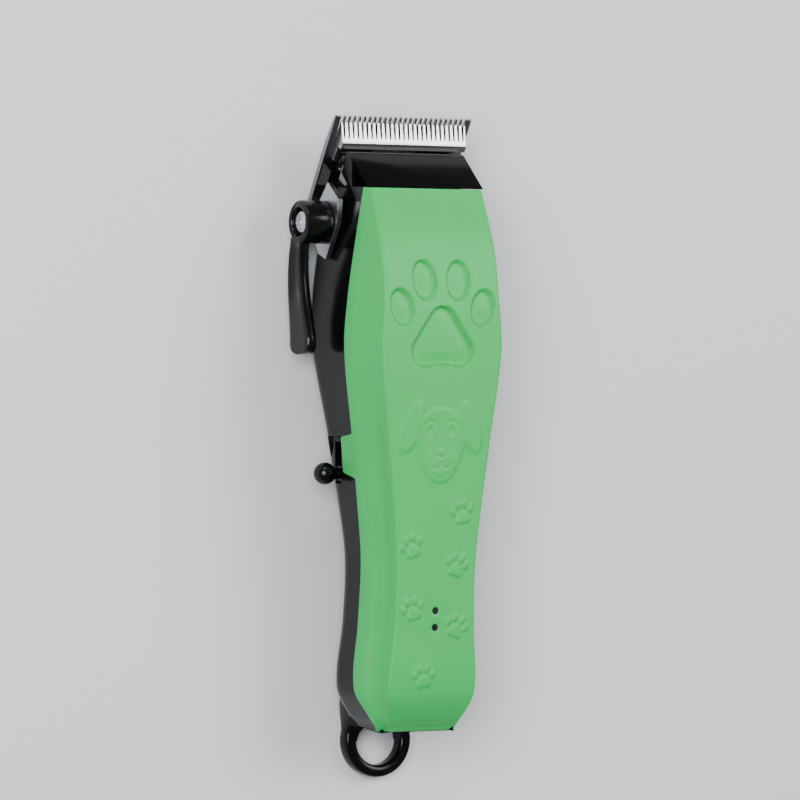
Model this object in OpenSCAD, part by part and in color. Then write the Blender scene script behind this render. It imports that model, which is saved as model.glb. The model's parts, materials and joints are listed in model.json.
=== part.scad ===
// Cordless pet clipper, lying on its back: +Z is the front cover's side, +Y the blade tips.
// The origin is the middle of the flat land that the rear cover rests on.

/* [Body] */
// Width of the body at its widest, across the palm swell
body_w = 47; // [42:0.5:52]
// Width of the body at the waist, where the fingers close
waist_w = 34; // [32.5:0.5:40]
// Width of the body at the tail flare
tail_w = 37; // [34:0.5:42]
// Width of the front cover's straight top edge, and of the nose
nose_w = 38; // [35:0.5:41]
// Length of the handle, from the origin back to the end of the covers
handle_l = 111; // [108:1:130]
// Depth of the body at the palm swell
body_d = 40; // [38:0.5:46]
// Depth of the body at the waist
waist_d = 28; // [25.5:0.5:32]
// Height of the front face above the table, over the origin
face_h = 41.6; // [40:0.2:46]
// Slope of the front face and the handle, towards the tail
face_tilt = 3.3; // [2:0.1:4]
// Thickness of both covers' walls
wall = 2; // [1.6:0.1:2.4]
// Gap between the two covers along their edge
seam = 0.15; // [0.1:0.05:0.3]

/* [Hanging loop] */
// Radius of the loop's hole
loop_hole_r = 7.2; // [6:0.1:8]
// Width of the loop's ring, in plan
loop_ring = 3.5; // [3:0.1:5]
// Thickness of the loop
loop_t = 5; // [4:0.5:6]

/* [Blades] */
// Width of the stationary blade
comb_w = 45; // [41:0.5:48]
// Width of the moving blade
cutter_w = 41; // [37:0.5:43]
// Length of the stationary blade, from its tips to its heel
comb_l = 32; // [31:0.5:33]
// Thickness of the stationary blade
comb_t = 1.8; // [1.4:0.1:2.2]
// Height of the moving blade's back rib above the stationary blade
cutter_h = 4.4; // [3.6:0.1:5]
// Number of teeth on the stationary blade
comb_teeth = 24; // [18:1:28]
// Number of teeth on the moving blade
cutter_teeth = 26; // [20:1:30]
// Slope of the blades, from their tips down to the heel
blade_tilt = 32; // [28:1:36]
// Distance of the blade tips in front of the origin
tip_y = 65.2; // [64:0.2:68]
// Height of the blade tips above the table
tip_z = 19.5; // [18.5:0.1:21]

/* [Taper lever] */
// Distance of the lever's pivot in front of the origin
hub_y = 35; // [34:0.2:36]
// Height of the lever's pivot above the table
hub_z = 13.2; // [12.6:0.1:14]
// Radius of the lever's round hub
hub_r = 6.2; // [5.2:0.1:6.6]
// Reach of the lever, from its pivot to the end of its paddle
lever_reach = 37; // [30:0.5:42]
// Throw of the lever's eccentric cam
cam_throw = 1.6; // [1.2:0.1:1.8]
// Radius of the lever's cam
cam_r = 4.4; // [4.2:0.1:4.8]
// Angle that the lever turns through, in degrees
lever_turn = 40; // [20:1:44]

/* [Drive] */
// Diameter of the motor's can
motor_d = 24; // [20:0.2:24.4]
// Length of the motor's can
motor_l = 27; // [24:0.5:28]
// Height of the motor's shaft above the table
shaft_z = 20.5; // [20:0.1:22]
// Throw of the motor's eccentric
ecc_throw = 0.8; // [0.5:0.05:1]
// Radius of the drive bearing
bearing_r = 3; // [2.5:0.1:3.5]

/* [Power] */
// Diameter of the battery cell
cell_d = 18.4; // [14:0.1:18.6]
// Length of the battery cell
cell_l = 65; // [50:1:66]
// Thickness of the circuit board
board_t = 1.2; // [0.8:0.1:1.6]
// Radius of the two light holes in the front cover
light_r = 1.05; // [0.8:0.05:1.5]
// Length of the slot that the switch knob slides in
slot_l = 12; // [11:0.5:14]
// Travel of the switch knob
switch_travel = 6; // [4:0.5:6.5]

/* [Hidden] */
$fn = 48;

run_gap = 0.3;          // between pieces that move past each other
fit_gap = 0.05;         // round a shaft in its hole
clear = 0.15;           // between pieces that only touch

green = [0.447, 0.761, 0.510];
black = [0.07, 0.07, 0.08];
steel = [0.78, 0.79, 0.80];

// ---- the body's stations, along the sloping face: [y, half width at the seam, half width of the
// ---- flat front, depth of the front, depth of the seam, depth of the back]
head_y = 43.8;
stations = [
    [-handle_l, tail_w / 2 - 6.2, tail_w / 2 - 9.2, 7.8, 9.4, 24],
    [-handle_l + 4, tail_w / 2 - 3.4, tail_w / 2 - 6.4, 4, 9.8, waist_d - 1],
    [-handle_l + 12, tail_w / 2, tail_w / 2 - 4.2, 0.7, 13.2, waist_d],
    [-80, (tail_w + waist_w) / 4 - 0.4, waist_w / 2 - 3.9, 0, 14, waist_d - 0.5],
    [-62, waist_w / 2, waist_w / 2 - 4, 0, 14, waist_d],
    [-45, waist_w / 2 + 1.6, waist_w / 2 - 2.4, 0, 14.4, waist_d + 2.5],
    [-27, body_w / 2 - 3, body_w / 2 - 6.8, 0, 15, body_d - 6],
    [-2, body_w / 2, body_w / 2 - 4, 0, 15.5, body_d - 1],
    [13, body_w / 2 - 0.9, body_w / 2 - 4.8, 1, 15.9, body_d + 1],
    [28, body_w / 2 - 2.8, body_w / 2 - 4.8, 4.6, 16, body_d + 2],
    [head_y, nose_w / 2, nose_w / 2 - 0.8, 12, 15, body_d + 3]
];
// A smooth curve through the stations: Hermite pieces with slopes taken from their neighbours.
function slope_at(i, k) = let (
    a = stations[max(0, i - 1)], b = stations[min(len(stations) - 1, i + 1)]
) (b[k] - a[k]) / (b[0] - a[0]);
function piece_at(y, i = 0) =
    i >= len(stations) - 2 || y < stations[i + 1][0] ? i : piece_at(y, i + 1);
function station_value(y, k) = let (
    i = piece_at(y), a = stations[i], b = stations[i + 1],
    h = b[0] - a[0], t = (y - a[0]) / h, t2 = t * t, t3 = t2 * t
) (2 * t3 - 3 * t2 + 1) * a[k] + (t3 - 2 * t2 + t) * h * slope_at(i, k)
    + (3 * t2 - 2 * t3) * b[k] + (t3 - t2) * h * slope_at(i + 1, k);
rings = [for (i = [0 : len(stations) - 2]) for (j = [0 : 1])
    stations[i][0] + (stations[i + 1][0] - stations[i][0]) * j / 2, head_y];

// The body is cut by planes round it. Each is square to a direction `angle` up from the X axis, and
// its distance from the Y axis follows the stations.
back_corner = 6;
function along(x, z, angle) = x * cos(angle) + z * sin(angle);
// The front: its side, its wide bevel, the crease and the flat.
front_angles = [0, 20, 50, 90];
function front_reach(y, angle, inset) = let (
    w = station_value(y, 1), f = station_value(y, 2), t = station_value(y, 3), p = station_value(y, 4)
) (angle == 0 ? w
    : angle == 90 ? -t
    : max(along(w - 0.5, 2.6 - p, angle), along(f + 0.4, -t - 0.4, angle)) - (angle == 50 ? 0 : 0.1)) - inset;
// The back: its side and the round corner to its underside.
back_angles = [0, -22.5, -45, -67.5, -90];
function back_reach(y, angle, inset) = let (
    w = station_value(y, 1), p = station_value(y, 4), b = station_value(y, 5), r = min(back_corner, b - p - 1)
) (angle == 0 ? w : angle == -90 ? b : along(w - 0.5 - r, r - b, angle) + r) - inset;
module prism(angle, reach) rotate([0, -angle, 0]) linear_extrude(160, center = true) polygon([
    for (r = reach) r, [-90, reach[len(reach) - 1][1]], [-90, reach[0][1]]
]);
function ring_ys(from_y, to_y) = concat([from_y], [for (r = rings) if (r > from_y + 0.5 && r < to_y - 0.5) r], [to_y]);
module front_body(inset, from_y, to_y, past_seam = 0) intersection() {
    ys = ring_ys(from_y, to_y);
    intersection_for (a = front_angles) both_sides(a, [for (y = ys) [front_reach(y, a, inset), y]]);
    prism(-90, [for (y = ys) [station_value(y, 4) - seam + past_seam, y]]);
}
module back_body(inset, from_y, to_y, past_seam = 0) intersection() {
    ys = ring_ys(from_y, to_y);
    intersection_for (a = back_angles) both_sides(a, [for (y = ys) [back_reach(y, a, inset), y]]);
    prism(90, [for (y = ys) [past_seam - station_value(y, 4), y]]);
}
module both_sides(angle, reach) intersection() {
    prism(angle, reach);
    mirror([1, 0, 0]) prism(angle, reach);
}
// The front face's frame: y along the sloping face, z the depth below it, as a negative number.
module face_frame() translate([0, 0, face_h]) rotate([face_tilt, 0, 0]) children();
// A point at `depth` below the face, as [y, z].
function row_point(y, depth) = [
    y * cos(face_tilt) + depth * sin(face_tilt), face_h + y * sin(face_tilt) - depth * cos(face_tilt)
];
function face_z(y, depth) = face_h + y * tan(face_tilt) - depth / cos(face_tilt);
// The blades' frame: the tips at the origin, the heel along -Y, the stationary blade's top at z = 0.
module blade_frame() translate([0, tip_y, tip_z]) rotate([blade_tilt, 0, 0]) children();
function blade_y(l, h) = tip_y - l * cos(blade_tilt) - h * sin(blade_tilt);
function blade_z(l, h) = tip_z - l * sin(blade_tilt) + h * cos(blade_tilt);

// ---- places shared by the pieces
boss_r = 3.6;
screw_r = 1.25;
screw_head_r = 2.3;
screw_below_seam = 9.2;                 // from a case screw's seat up to the seam
case_screw_l = 14;
case_screw_places = [
    [body_w / 2 - 7.4, 22], [-(body_w / 2 - 7.4), 22],
    [tail_w / 2 - 8.7, -handle_l + 6.6], [-(tail_w / 2 - 8.7), -handle_l + 6.6]
];
function seam_z(y) = face_z(y, station_value(y, 4));
function screw_seat(p) = seam_z(p[1]) - screw_below_seam;

board_depth = wall + 1;                 // of the board's top face
board_w = 15;
cell_end = -handle_l + 10.8;            // the cell's tail end
cell_front = cell_end + cell_l;
cell_depth = board_depth + board_t + 0.4 + cell_d / 2;
board_from = cell_end + 1.2;
board_to = cell_front + 4;
light_ys = [-80.6, -75.8];
socket_r = 3.5;
socket_l = 7.5;
socket_z = face_z(-handle_l, 19.6);

knob_y = -36.8;
knob_depth = 25.5;
knob_z = face_z(knob_y, knob_depth);
knob_stem = [4.2, 3.2];                 // along Y and Z
knob_out = 23.1;                        // the middle of the knob's ball, left of the middle
slot_from = knob_y - knob_stem[0] / 2 - 0.8;
lip_depth = 21.5;                       // of the front cover's deeper lip beside the switch

motor_front = 6;
motor_back = motor_front - motor_l;
cap_l = 3.5;
clamp_y = motor_front - 14;
ecc_y = motor_front + 8;                // middle of the drive bearing
bearing_w = 3;
pivot_y = 29;
pin_r = 1.5;
arm_t = 3;
arm_z = shaft_z - 2.5;                  // underside of the swing arm
stroke = 1.2;                           // of the moving blade, each way
finger_r = 1.5;
finger_l = 15.2;                        // where the finger meets the guide, along the blade
finger_y = blade_y(finger_l, 4);
swing_deg = asin(stroke / (finger_y - pivot_y));
fork_gap = bearing_r + ecc_throw + (pivot_y - ecc_y) * sin(swing_deg) + clear;

plate_t = 1.2;                          // of the taper bracket's base
seat_h = plate_t + run_gap;             // of the head floor, above the stationary blade
floor_t = 2;
nut_h = seat_h + floor_t + 0.2;
blade_screw_x = 12;
blade_screw_l = 26;                     // their place along the blade
blade_screw_r = 1.5;
spring_screw_l = 33.3;
cutter_back = 18.2;
guide_from = 11.6;
guide_to = 18;

hub_l = (tip_y - hub_y) * cos(blade_tilt) + (tip_z - hub_z) * sin(blade_tilt);
hub_h = (tip_y - hub_y) * sin(blade_tilt) - (tip_z - hub_z) * cos(blade_tilt);
cam_half = lever_turn / 2;              // the cam stands square to the blade half way
cam_slack = 0.08;
ear_t = 1.5;
ear_x = station_value(hub_y - 11, 1) + 0.3;     // the ear's inner face, left of the middle
ear_out = ear_x + ear_t;
hub_out = ear_out + 7;                // the hub's outer face
boss_out = ear_x - 0.35;
insert_r = 2.4;
insert_l = 6;
lever_screw_r = 1.5;
lever_x = 31.5;                         // the lever's outer face
lever_t = 3.4;
loop_outer_r = loop_hole_r + loop_ring;
loop_y = -handle_l - 3.2;

// ---- small fasteners
module pan_screw(length, r, head_r, head_h) {
    difference() {
        union() {
            cylinder(h = length, r = r);
            translate([0, 0, -head_h]) cylinder(h = head_h, r = head_r);
        }
        for (a = [0, 90]) rotate(a) translate([0, 0, -head_h]) cube([head_r * 1.2, 0.6, 1.4], center = true);
    }
}

// ---- covers
module front_cover() color(green) difference() {
    face_frame() union() {
        front_body(0, -handle_l, head_y);
        switch_lip(0);
    }
    difference() {
        face_frame() union() {
            front_body(wall, -handle_l + wall, head_y - wall, 1);
            back_body(wall, -handle_l + wall, head_y - wall);
        }
        for (p = case_screw_places) translate([p[0], p[1], seam_z(p[1]) + seam]) cylinder(h = 30, r = boss_r);
        for (p = board_screw_places) face_frame() translate([p[0], p[1], -board_depth]) cylinder(h = 10, r = 2);
    }
    for (p = case_screw_places) translate([p[0], p[1], seam_z(p[1]) - 1]) cylinder(h = case_screw_l - screw_below_seam + 1.2, r = screw_r + fit_gap);
    for (p = board_screw_places) face_frame() translate([p[0], p[1], -board_depth - 1])
        cylinder(h = 2.7, r = 1 + fit_gap);
    for (y = light_ys) face_frame() translate([0, y, -wall - 1]) cylinder(h = wall + 2, r = light_r);
}
// The front cover reaches deeper beside the switch.
module switch_lip(gap) intersection() {
    translate([-body_w / 2 - 3, slot_from + 0.6 - gap, -lip_depth - gap])
        cube([body_w / 4 + 1 + gap, slot_l - 1 + 2 * gap, lip_depth - 12]);
    back_body(0, -handle_l, head_y, 1);
}

module rear_cover() color(black) difference() {
    union() {
        difference() {
            union() {
                face_frame() back_body(0, -handle_l, head_y);
                rest_land();
                loop_neck();
            }
            difference() {
                face_frame() back_body(wall, -handle_l + wall, head_y + 1, 1);
                inner_posts();
            }
        }
        lever_boss();
        // cheeks behind the nose's, over the blade set's margins
        intersection() {
            for (s = [0, 1]) mirror([s, 0, 0]) blade_frame() translate([nose_w / 2 - 1.2, -25, 0])
                cube([(comb_w - nose_w) / 2 + 0.9, 10, 5.3]);
            face_frame() translate([-50, 0, -80]) cube([100, head_y, 100]);
        }
    }
    for (p = case_screw_places) {
        translate([p[0], p[1], -5]) cylinder(h = 60, r = screw_r + clear);
        translate([p[0], p[1], -5]) cylinder(h = 5 + screw_seat(p), r = screw_head_r + clear);
    }
    translate([0, loop_y, -1]) cylinder(h = loop_t + 2, r = loop_hole_r);
    // the slot of the knob, and room for the front cover's deeper lip
    translate([-40, slot_from, knob_z - knob_stem[1] / 2 - run_gap])
        cube([40 - 13, slot_l, knob_stem[1] + 2 * run_gap]);
    translate([-plate_out - run_gap, knob_y - plate_half[0] - run_gap, knob_z - plate_half[1] - run_gap])
        cube([4, 2 * plate_half[0] + switch_travel + 2 * run_gap, 2 * plate_half[1] + 2 * run_gap]);
    // the shallow dish the knob's ball slides in
    translate([-body_w, slot_from - dish_rim[0], knob_z - dish_rim[1]])
        cube([body_w - dish_out, slot_l + 2 * dish_rim[0], 2 * dish_rim[1]]);
    translate([for (v = switch_at) v - clear]) cube([for (v = switch_box) v + 2 * clear]);
    face_frame() translate([-body_w / 2 - 4, slot_from + 0.6 - seam, -lip_depth - seam])
        cube([body_w / 4 + 2 + seam, slot_l - 1 + 2 * seam, lip_depth]);
    // the charging socket
    translate([0, -handle_l - 5, socket_z]) rotate([-90, 0, 0]) cylinder(h = 12, r = socket_r + clear);
    // the brass insert of the lever's screw
    translate([-boss_out - 1, hub_y, hub_z]) rotate([0, 90, 0]) cylinder(h = 1 + insert_l, r = insert_r);
    translate([0, pivot_y, 3]) cylinder(h = 60, r = pin_r);
    for (s = [-1, 1]) translate([s * (motor_d / 2 + 4.2), clamp_y, shaft_z - 9]) cylinder(h = 20, r = 1);
    // the seat of the blade set
    blade_frame() translate([-50, -comb_l - 6, -30]) cube([100, comb_l + 20, 30 + seat_h]);
    for (s = [-1, 1]) blade_frame() slot_hole(s * blade_screw_x, blade_screw_l, blade_screw_r + 0.3, cam_travel, 10);
    for (s = [-1, 1]) blade_frame() translate([s * 5, -spring_screw_l, 0]) cylinder(h = 10, r = 1);
}
land_w = 18;
land_l = 22;
module rest_land() translate([-land_w / 2, -land_l / 2, 0]) cube([land_w, land_l, 6]);
// Posts, ribs and the head's floor, which fill parts of the rear cover's inside.
module inner_posts() {
    for (p = case_screw_places) translate([p[0], p[1], -1]) cylinder(h = seam_z(p[1]) + 1, r = boss_r);
    translate([0, pivot_y, 0]) cylinder(h = arm_z - clear, r = 4.5);
    difference() {
        for (y = [motor_back + 2, motor_front - 4]) translate([-14, y, 0]) cube([28, 2, shaft_z - 6]);
        translate([0, -50, shaft_z]) rotate([-90, 0, 0]) cylinder(h = 80, r = motor_d / 2 + clear);
    }
    for (s = [-1, 1]) translate([s * (motor_d / 2 + 4.2), clamp_y, 0]) cylinder(h = shaft_z - 0.2, r = 2.4);
    // the floor over the blade set, with a window for the swing arm's finger in front of it
    blade_frame() translate([-30, -comb_l - 8, seat_h - 1]) cube([60, comb_l + 8 - cutter_back - 2, floor_t + 1]);
}
// The loop hangs below the tail on a neck.
module loop_neck() {
    translate([0, loop_y, 0]) cylinder(h = loop_t, r = loop_outer_r);
    hull() {
        translate([-loop_outer_r - 1, -handle_l + 4.2, 0.4]) cube([2 * loop_outer_r + 2, 2, loop_t - 0.8]);
        translate([-loop_outer_r - 1.5, -handle_l + 9, 3]) cube([2 * loop_outer_r + 3, 4, 8]);
    }
    // side webs from the loop up into the tail
    for (s = [0, 1]) mirror([s, 0, 0]) hull() {
        translate([loop_outer_r - 2.2, loop_y, 0.5]) cube([2, 8, loop_t - 1]);
        translate([loop_outer_r - 2.2, -handle_l + 3, 3]) cube([3, 6, 9]);
    }
}
cam_travel = 2 * cam_throw * sin(cam_half);
// A slot that runs from `l` towards the heel by `travel`, at `x`.
module slot_hole(x, l, r, travel, h) {
    translate([x, -l, 0]) cylinder(h = h, r = r);
    translate([x, -l - travel, 0]) cylinder(h = h, r = r);
    translate([x - r, -l - travel, 0]) cube([2 * r, travel, h]);
}
module lever_boss() intersection() {
    translate([-boss_out, hub_y, hub_z]) rotate([0, 90, 0]) cylinder(h = insert_l + 2, r = 4.6);
    translate([-40, 0, 0]) cube([60, head_y, 40]);
}

// The nose, as a wedge along X: the ramp in front of the cover and the walls beside the drive.
module nose_cap() color(black) {
    foot = 2.6;
    joint = head_y + clear;
    foot_depth = (face_h + joint * sin(face_tilt) - tip_z - foot / cos(blade_tilt)
        - (joint * cos(face_tilt) - tip_y) * tan(blade_tilt))
        / (cos(face_tilt) + sin(face_tilt) * tan(blade_tilt));
    top = row_point(joint, station_value(head_y, 3) + 0.3);
    lip = [blade_y(8.2, cutter_h + 2.4), blade_z(8.2, cutter_h + 2.4)];
    low = cutter_h + 0.7;
    side = [
        top, lip, [blade_y(8.6, low), blade_z(8.6, low)], [blade_y(10.4, low), blade_z(10.4, low)],
        [blade_y(10.4, foot), blade_z(10.4, foot)], row_point(joint, foot_depth)
    ];
    difference() {
        along_x(nose_w, side);
        difference() {
            translate([-nose_w / 2 + 1.8, 20, -5]) cube([nose_w - 3.6, 60, 60]);
            // the ramp's own thickness is left
            translate([-50, top[0], top[1]]) rotate([-atan2(top[1] - lip[1], lip[0] - top[0]), 0, 0])
                translate([0, -10, -1.8]) cube([100, 40, 20]);
        }
    }
    // cheeks over the stationary blade's margins
    intersection() {
        for (s = [0, 1]) mirror([s, 0, 0]) blade_frame()
            translate([nose_w / 2 - 1.2, -cutter_back - 5, run_gap]) cube([(comb_w - nose_w) / 2 + 0.9, 8, 5]);
        face_frame() translate([-50, joint, -80]) cube([100, 60, 100]);
    }
}
// A solid of width `w` whose outline lies in the YZ plane.
module along_x(w, outline) translate([-w / 2, 0, 0]) rotate([90, 0, 90]) linear_extrude(w) polygon(outline);

module case_screws() color(steel) for (p = case_screw_places)
    translate([p[0], p[1], screw_seat(p)]) pan_screw(case_screw_l, screw_r, screw_head_r, 1.8);

// ---- the blade set
// Gaps of a row of teeth: `count` teeth over `w`, gaps `gap` wide at the root and `mouth` at the tips.
module tooth_gaps(w, count, edge, gap, mouth, from, to) {
    pitch = (w - 2 * edge) / count;
    for (i = [0 : count]) translate([-w / 2 + edge + i * pitch, 0, -10]) linear_extrude(20)
        polygon([[-mouth / 2, -from + 1], [mouth / 2, -from + 1], [gap / 2, -to], [-gap / 2, -to]]);
}
module stationary_blade() color(steel) blade_frame() difference() {
    along_x(comb_w, [[0, -0.2], [-0.5, 0], [-comb_l, 0], [-comb_l, -comb_t], [-9, -comb_t], [-0.6, -0.8], [0, -0.5]]);
    tooth_gaps(comb_w, comb_teeth, 2.4, 0.75, 1.05, 0, 7.2);
    for (s = [-1, 1]) translate([s * blade_screw_x, -blade_screw_l, 0]) {
        translate([0, 0, -5]) cylinder(h = 10, r = blade_screw_r + clear);
        translate([0, 0, -comb_t - 1]) cylinder(h = 1 + 1.1, r = 2.8 + clear);
    }
    // a window under the moving blade saves weight and lets oil through
    translate([-9, -18, -5]) cube([18, 3, 10]);
}
module moving_blade() color(steel) blade_frame() difference() {
    along_x(cutter_w, [
        [-1.7, 0], [-1.7, 0.5], [-5.6, cutter_h - 0.9], [-6.4, cutter_h], [-8.4, cutter_h],
        [-8.9, 2.2], [-cutter_back, 2.2], [-cutter_back, 0]
    ]);
    tooth_gaps(cutter_w, cutter_teeth, 0.9, 0.35, 0.95, 1.7, 5.4);
    for (s = [-1, 1]) translate([s * 4.5, -(guide_from + guide_to) / 2, -1]) cylinder(h = 10, r = 1);
    // narrower behind, to pass between the nose's cheeks
    for (s = [0, 1]) mirror([s, 0, 0]) translate([nose_w / 2 - 2.8, -40, -1]) cube([10, 26.5, 20]);
}
// The plastic block on the moving blade, with the slot of the arm's finger and two pegs.
module blade_guide() color(black) blade_frame() difference() {
    union() {
        translate([-7, -guide_to, 2.2]) cube([14, guide_to - guide_from, 2.6]);
        for (s = [-1, 1]) translate([s * 4.5, -(guide_from + guide_to) / 2, 0.3]) cylinder(h = 3, r = 1);
    }
    rotate([-blade_tilt, 0, 0]) translate([0, finger_y - tip_y, -30])
        intersection() {
            translate([-finger_r - 0.08, -6, 0]) cube([2 * finger_r + 0.16, 12, 60]);
            translate([-10, -2.1, 0]) cube([20, 4.2, 60]);
        }
}
// The base plate under the head's floor, and the ear that the lever's cam turns in.
module taper_bracket() color(steel) blade_frame() {
    difference() {
        union() {
            translate([-17.5, -comb_l, 0]) cube([35, comb_l - cutter_back - 2, plate_t]);
            translate([-ear_out, -35, 0]) cube([ear_out - 17, 7.2, plate_t]);
            translate([-ear_out, 0, 0]) rotate([90, 0, 90]) linear_extrude(ear_t) polygon([
                [-18, 6.6], [-19, 14.5], [-25, 17.4], [-37.4, 17.2], [-38.2, 12.6],
                [-35.6, 8], [-35, 0], [-27.8, 0], [-26.3, 5]
            ]);
        }
        for (s = [-1, 1]) translate([s * blade_screw_x, -blade_screw_l, -1]) cylinder(h = 10, r = blade_screw_r + clear);
        cam_slot();
    }
}
// The cam's centre at a turn of the lever, from the pivot, in the blades' frame: [y, z].
function cam_at(turn) = [
    -cam_throw * sin(turn - cam_half), -cam_throw * cos(turn - cam_half)
];
module cam_slot() {
    rise = cam_throw * (1 - cos(cam_half));
    for (z = [0, -rise]) translate([-ear_out - 5, -hub_l + cam_at(0)[0], hub_h + cam_at(0)[1] + z])
        rotate([0, 90, 0]) cylinder(h = 12, r = cam_r + cam_slack);
    translate([-ear_out - 5, -hub_l + cam_at(0)[0] - cam_r - cam_slack, hub_h + cam_at(0)[1] - rise])
        cube([12, 2 * (cam_r + cam_slack), rise]);
}
module nut_plate() color(steel) blade_frame() for (s = [-1, 1]) difference() {
    translate([s * blade_screw_x - 3, -blade_screw_l - 3.4, nut_h]) cube([6, 5.6, 1.6]);
    translate([s * blade_screw_x, -blade_screw_l, 0]) cylinder(h = 10, r = blade_screw_r);
}
module blade_screws() color(steel) for (s = [-1, 1]) blade_frame()
    translate([s * blade_screw_x, -blade_screw_l, -comb_t + 1.1]) pan_screw(nut_h + comb_t + 0.9, blade_screw_r, 2.8, 1.1);

// ---- the taper lever
module taper_lever() color(black) {
    difference() {
        union() {
            translate([-hub_out, hub_y, hub_z]) rotate([0, 90, 0])
                cylinder(h = hub_out - ear_out - run_gap, r = hub_r);
            lever_arm();
            translate([0, hub_y, hub_z]) rotate([blade_tilt, 0, 0]) translate([-ear_out - 1, cam_at(0)[0], cam_at(0)[1]])
                rotate([0, 90, 0]) cylinder(h = ear_t + 1 + 0.1, r = cam_r);
        }
        translate([-lever_x - 1, hub_y, hub_z]) rotate([0, 90, 0]) cylinder(h = 30, r = lever_screw_r + fit_gap);
        translate([-lever_x - 1, hub_y, hub_z]) rotate([0, 90, 0]) cylinder(h = lever_x + 1 - hub_out + 1.9, r = 4);
    }
}
// The lever's centre line dips towards the back and rises again to the paddle.
lever_steps = 14;
function lever_mid(t) = [hub_y - t * (lever_reach - 3.5), hub_z - 3 * pow(sin(180 * pow(t, 0.85)), 1.2) * (1 - 0.15 * t)];
function lever_half(t) = t < 0.15 ? 3.9 - 6 * t : 3 + 1.9 * pow((t - 0.15) / 0.85, 2);
module lever_arm() difference() {
    translate([-lever_x, 0, 0]) rotate([90, 0, 90]) linear_extrude(lever_t) union() {
        polygon([
            for (i = [0 : lever_steps]) let (t = i / lever_steps) lever_mid(t) + [0, lever_half(t)],
            for (i = [lever_steps : -1 : 0]) let (t = i / lever_steps) lever_mid(t) - [0, lever_half(t)]
        ]);
        translate(lever_mid(1)) circle(r = lever_half(1) - 0.05);
        translate([hub_y, hub_z]) circle(r = hub_r);
    }
    // finger ribs across the paddle
    for (i = [0 : 2]) translate([-lever_x - 0.6, lever_mid(1)[0] - 1 + i * 2.6, 0]) cube([1.2, 1, 60]);
}
module lever_screw() color(steel) translate([-hub_out + 1.3, hub_y, hub_z]) rotate([0, 90, 0])
    pan_screw(hub_out - 1.3 - boss_out + insert_l - 0.6, lever_screw_r, 3.4, 1.5);
module wave_washer() color(steel) translate([-hub_out + 1.35, hub_y, hub_z]) rotate([0, 90, 0]) difference() {
    cylinder(h = 0.5, r = 3.3);
    translate([0, 0, -1]) cylinder(h = 3, r = lever_screw_r + clear);
}
module lever_insert() color("goldenrod") translate([-boss_out, hub_y, hub_z]) rotate([0, 90, 0]) difference() {
    cylinder(h = insert_l, r = insert_r);
    translate([0, 0, -1]) cylinder(h = insert_l + 2, r = lever_screw_r + fit_gap);
}
// A bent strip that keeps the moving blade down on the stationary one.
module tension_spring() color(steel) blade_frame() {
    strip = 0.5;
    base = seat_h + floor_t;
    over = nut_h + 2.6;
    tip = 2.2 + run_gap;
    difference() {
        along_x(24, [
            [-34.9, base], [-31.4, base], [-30.7, over], [-20.4, over], [-16.4, tip], [-15.4, tip],
            [-15.4, tip + strip], [-16.1, tip + strip], [-20.1, over + strip], [-31.1, over + strip],
            [-31.8, base + strip], [-34.9, base + strip]
        ]);
        translate([-8.4, -31, 0]) cube([16.8, 30, 20]);
        for (s = [-1, 1]) translate([s * 5, -spring_screw_l, 0]) cylinder(h = 20, r = 1 + clear);
    }
}
module spring_screws() color(steel) for (s = [-1, 1]) blade_frame()
    translate([s * 5, -spring_screw_l, seat_h + floor_t + 0.5]) rotate([180, 0, 0]) pan_screw(2, 1, 1.55, 1);

// ---- the drive
module swing_arm() color("white") difference() {
    union() {
        translate([0, pivot_y, arm_z]) cylinder(h = arm_t + 1.5, r = 4.4);
        translate([-2.4, ecc_y + 2.6, arm_z]) cube([4.8, finger_y - ecc_y - 2.6, arm_t]);
        translate([0, finger_y, arm_z]) cylinder(h = arm_t, r = finger_r + 0.2);
        translate([-fork_gap - 2.2, ecc_y + 2.6, arm_z]) cube([2 * fork_gap + 4.4, 4, arm_t]);
        for (s = [-1, 1]) translate([s * (fork_gap + 1.1) - 1.1, ecc_y - 1.8, arm_z]) cube([2.2, 5, 6]);
        translate([0, finger_y, blade_z(finger_l, 2.9)]) cylinder(h = arm_z - blade_z(finger_l, 2.9) + 1, r = finger_r);
    }
    translate([0, pivot_y, arm_z - 1]) cylinder(h = 20, r = pin_r + fit_gap);
}
module swing_pivot_pin() color(steel) translate([0, pivot_y, 4]) {
    cylinder(h = arm_z + arm_t + 1.5 + clear - 4, r = pin_r);
    translate([0, 0, arm_z + arm_t + 1.5 + clear - 4]) cylinder(h = 0.8, r = 2.6);
}
module along_y(y, r, l) translate([0, y, shaft_z]) rotate([-90, 0, 0]) cylinder(h = l, r = r);
module drive_bearing() color(steel) translate([0, 0, ecc_throw]) difference() {
    along_y(ecc_y - bearing_w / 2, bearing_r, bearing_w);
    along_y(ecc_y - bearing_w / 2 - 1, bearing_r - 1.2, bearing_w + 2);
}
module eccentric_hub() color("goldenrod") difference() {
    union() {
        along_y(motor_front + 3.4, 3.6, 2.6);
        translate([0, 0, ecc_throw]) along_y(motor_front + 5.9, bearing_r - 1.2, ecc_y + bearing_w / 2 - motor_front - 5.5);
    }
    along_y(0, 0.75, 60);
}
module motor_shaft() color(steel) union() {
    along_y(motor_back + 3, 1, motor_front + 3.4 - motor_back - 3);
    along_y(motor_front + 3, 0.75, ecc_y - motor_front - 2);
    // the rotor's iron core and commutator, on the shaft
    along_y(motor_back + 6, motor_d / 2 - 3.5, motor_l - 11);
    along_y(motor_back + 3.2, 2.6, 3);
}
module motor_can() color(steel) difference() {
    union() {
        along_y(motor_back, motor_d / 2, motor_l);
        along_y(motor_front - 1, 3.2, 2.4);
    }
    along_y(motor_back - 1, motor_d / 2 - 1, motor_l);
    along_y(0, 1 + fit_gap, 60);
}
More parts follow.
